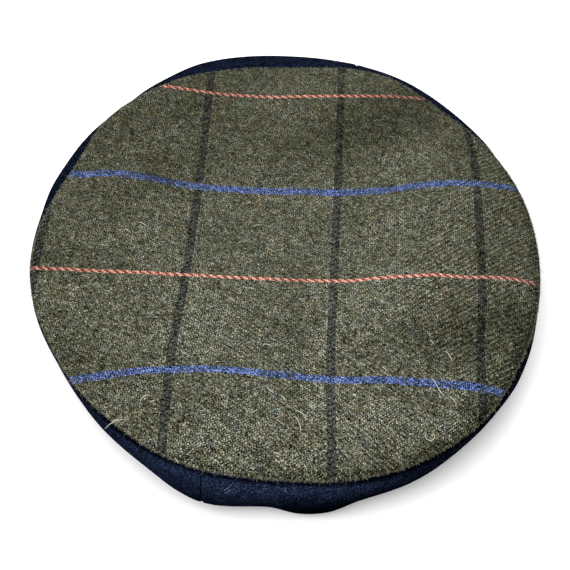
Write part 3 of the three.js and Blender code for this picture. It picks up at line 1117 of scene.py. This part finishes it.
def make_band_stitches(material):
    """Two rows of stitches round the headband, on both of its faces."""
    stitch, gap, thread = 3.2, 0.9, 0.45
    sunk = 0.2
    paths, ups = [], []
    for height in STITCH_ROWS:
        for radius, facing in ((BAND_OUTER_RADIUS - sunk, 1), (BAND_INNER_RADIUS + sunk, -1)):
            count = int(2 * math.pi * radius / (stitch + gap))
            start = np.arange(count) * 2 * math.pi / count
            along = np.linspace(0, 1, 5)
            angle = start[:, None] + along[None] * stitch / radius
            bulge = radius + facing * sunk * np.sin(along * math.pi)[None]
            paths.append(turned(bulge, angle, height))
            ups.append(turned(1.0, angle, 0.0) * facing)
    paths, ups = np.concatenate(paths), np.concatenate(ups)
    widths = np.tile(thread * np.array([0.6, 1, 1.05, 1, 0.6]), (len(paths), 1))
    points, groups, _ = strands(paths, ups, widths, sides=6)
    return new_piece("headband_stitches", points, groups, [material])


# Loose fibres


def crown_paths(x, y, heading, length, curl, lift, points):
    """Strands that lie on the crown, from their middles, headings and curls in degrees."""
    share = np.linspace(-0.5, 0.5, points)
    angle = np.radians(heading[:, None] + curl[:, None] * share[None])
    step = length[:, None] / (points - 1)
    flat = []
    for middle, part in ((x, np.cos(angle)), (y, np.sin(angle))):
        walk = np.cumsum(part * step, axis=1)
        flat.append(middle[:, None] + walk - walk.mean(axis=1, keepdims=True))
    arch = lift[:, None] * np.cos(share * math.pi)[None]
    return np.stack([*flat, crown_surface(*flat) + FIBRE_CLEARANCE + arch], axis=2)


def make_nap(name, seed, materials, shares):
    """Short fibres that stand out of the tweed's threads, most of them lying away to the right."""
    usual_share, usual_heading, heading_spread = 0.65, -55, 28
    usual_length, length_spread = 1.5, 0.4
    curl_spread = 55
    rng = np.random.default_rng(seed)
    count = NAP_COUNT
    radius = NAP_RADIUS * np.sqrt(rng.uniform(0, 1, count))
    angle = rng.uniform(0, 2 * math.pi, count)
    usual = rng.uniform(0, 1, count) < usual_share
    lying = rng.normal(usual_heading, heading_spread, count)
    heading = np.where(usual, lying, rng.uniform(-90, 90, count))
    length = rng.lognormal(math.log(usual_length), length_spread, count)
    curl = rng.normal(0, curl_spread, count)
    lift = rng.uniform(0.02, 0.35, count)
    x, y = radius * np.cos(angle), radius * np.sin(angle)
    paths = crown_paths(x, y, heading, length, curl, lift, 3)
    width = rng.uniform(0.07, 0.17, count)
    widths = width[:, None] * np.array([0.8, 1, 0.5])[None]
    points, groups, owner = strands(paths, UP, widths)
    shade = rng.choice(len(materials), count, p=shares)
    return new_piece(name, points, groups, materials, shade[owner])


def make_strays(materials):
    """The longer fibres that the photo shows on the crown and on the body's near side."""
    t = STRAY_FIBRES
    steps = 12
    crown_arch, body_clearance, body_arch = 0.5, 0.35, 0.4
    lift = np.full(len(t), crown_arch)
    crown = crown_paths(t["x"], t["y"], t["heading"], t["length"], t["curl"], lift, steps)
    share = np.linspace(0, 1, steps)
    body = []
    for row in BODY_STRAYS:
        azimuth = lerp(row["from"], row["to"], share)
        fibre_down = lerp(row["from_down"], row["to_down"], share)
        places, _, down = body_profile(azimuth)
        radius, height = (
            np.array([np.interp(d, a, p[:, k]) for d, a, p in zip(fibre_down, down, places)])
            for k in (0, 1)
        )
        away = radius + body_clearance + body_arch * np.sin(share * math.pi)
        body.append(turned(away, np.radians(azimuth), height))
    paths = np.concatenate([crown, np.stack(body)])
    width = np.repeat([CROWN_STRAY_WIDTH, BODY_STRAY_WIDTH], [len(crown), len(body)])
    widths = width[:, None] * np.sin(np.linspace(0.5, 2.6, steps))
    points, groups, owner = strands(paths, UP, widths, sides=5)
    shade = np.concatenate([t["shade"], np.full(len(body), BODY_STRAY_SHADE)])
    return new_piece("stray_fibres", points, groups, materials, shade[owner])


def make_edge_fuzz(materials, shares):
    """Fibres that stand off the crown's rolled edge, and droop a little."""
    usual_length, length_spread = 0.9, 0.45
    droop = 0.35
    rng = np.random.default_rng(21)
    count = EDGE_FIBRES
    azimuth = rng.uniform(0, 360, count)
    angle = np.radians(azimuth)
    reach = around(CROWN_WAVE, "reach", azimuth)
    inset = rng.uniform(0, 1.2, count)
    flat = reach - EDGE_ROLL
    base_height = crown_surface(flat * np.cos(angle), flat * np.sin(angle))
    drop = 1 - np.sqrt(np.maximum(0, 1 - ((EDGE_ROLL - inset) / EDGE_ROLL) ** 2))
    root = turned(reach - inset, angle, base_height - drop)
    out = turned(1.0, angle, 0.0)
    lean = rng.normal(0, 0.9, (count, 1))
    rise = rng.normal(0.1, 0.45, (count, 1))
    way = unit(out + np.cross(UP, out) * lean + UP * rise)
    length = rng.lognormal(math.log(usual_length), length_spread, (count, 1))
    out_along = length * np.linspace(0, 1, 4)[None]
    paths = root[:, None] + way[:, None] * out_along[:, :, None]
    paths[:, :, 2] -= droop * out_along**2 / 2
    widths = rng.uniform(0.07, 0.15, (count, 1)) * np.array([1, 0.9, 0.7, 0.4])[None]
    points, groups, owner = strands(paths, UP, widths)
    shade = rng.choice(len(materials), count, p=shares)
    return new_piece("crown_edge_fibres", points, groups, materials, shade[owner])


# The stage


def make_floor():
    g = Graph("pale_floor")
    coordinates = g.on_hat()
    darker, paler = ((tone, tone, tone, 1) for tone in FLOOR_TONES)
    tone = g.mix(g.noise(coordinates, scale=3, detail=1), darker, paler)
    material = g.finish(tone, None, Roughness=0.9, Specular_IOR_Level=0.1)
    angles = np.linspace(0, 2 * math.pi, FLOOR_SPOKES, endpoint=False)
    mesh = bpy.data.meshes.new("floor")
    mesh.from_pydata(turned(FLOOR_RADIUS, angles, 0.0).tolist(), [], [range(FLOOR_SPOKES)])
    mesh.materials.append(material)
    new_object("floor", mesh)


def add_area_light(name, place, size, power):
    light = bpy.data.lights.new(name, "AREA")
    light.shape = "DISK"
    light.size = size
    light.energy = power
    lamp = new_object(name, light)
    lamp.location = place
    way = Vector((HAT_X, HAT_Y, LIGHT_AIM_HEIGHT)) - Vector(place)
    lamp.rotation_euler = way.to_track_quat("-Z", "Y").to_euler()


def light_the_stage():
    world = bpy.data.worlds.new("studio")
    world.use_nodes = True
    background = world.node_tree.nodes["Background"]
    background.inputs["Color"].default_value = (1, 1, 1, 1)
    background.inputs["Strength"].default_value = SKY_STRENGTH
    bpy.context.scene.world = world
    for light in LIGHTS:
        add_area_light(*light)
    bpy.context.scene.view_settings.view_transform = "Standard"


def make_camera():
    data = bpy.data.cameras.new("photo_camera")
    data.sensor_width = SENSOR_WIDTH
    data.lens = FOCAL_PIXELS * SENSOR_WIDTH / PHOTO_SIDE
    data.clip_start = 0.01
    camera = new_object("photo_camera", data)
    aim = Vector(CAMERA_AIM) * MM + Vector((HAT_X, HAT_Y, 0))
    back = Vector((0, -math.cos(CAMERA_ELEVATION), math.sin(CAMERA_ELEVATION)))
    right = Vector((1, 0, 0))
    up = back.cross(right)
    turned_right = right * math.cos(CAMERA_ROLL) + up * math.sin(CAMERA_ROLL)
    turned_up = up * math.cos(CAMERA_ROLL) - right * math.sin(CAMERA_ROLL)
    axes = Matrix((turned_right, turned_up, back)).transposed()
    place = aim + back * CAMERA_DISTANCE * MM
    camera.matrix_world = Matrix.Translation(place) @ axes.to_4x4()
    bpy.context.scene.camera = camera


# Putting it together

make_camera()
light_the_stage()
make_floor()

tweed = tweed_material()
navy = wool_material("navy_wool", NAVY_WOOL, NAVY_CONTRAST)
band_navy = wool_material("band_wool", BAND_WOOL, BAND_CONTRAST)
thread = fibre_material("navy_thread", THREAD)
nap_materials = [fibre_material(name, dye) for name, dye, _ in NAP_SHADES]
nap_shares = [share for _, _, share in NAP_SHADES]
stray_materials = [fibre_material(name, dye) for name, dye in STRAY_SHADES]

crown = make_crown(tweed)
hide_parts("tweed_crown")
left = make_panel("body_left_cloth", RADIAL_SEAM_AZIMUTH, navy)
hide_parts("wool_panel_left")
right = make_panel("body_right_cloth", RADIAL_SEAM_AZIMUTH + 180, navy)
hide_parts("wool_panel_right")
band = make_band(band_navy)
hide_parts("headband")
stitches = make_band_stitches(thread)

nap = [make_nap(f"tweed_nap_{k}", 30 + k, nap_materials, nap_shares) for k in (1, 2)]
strays = make_strays(stray_materials)
edge_fuzz = make_edge_fuzz(nap_materials, nap_shares)
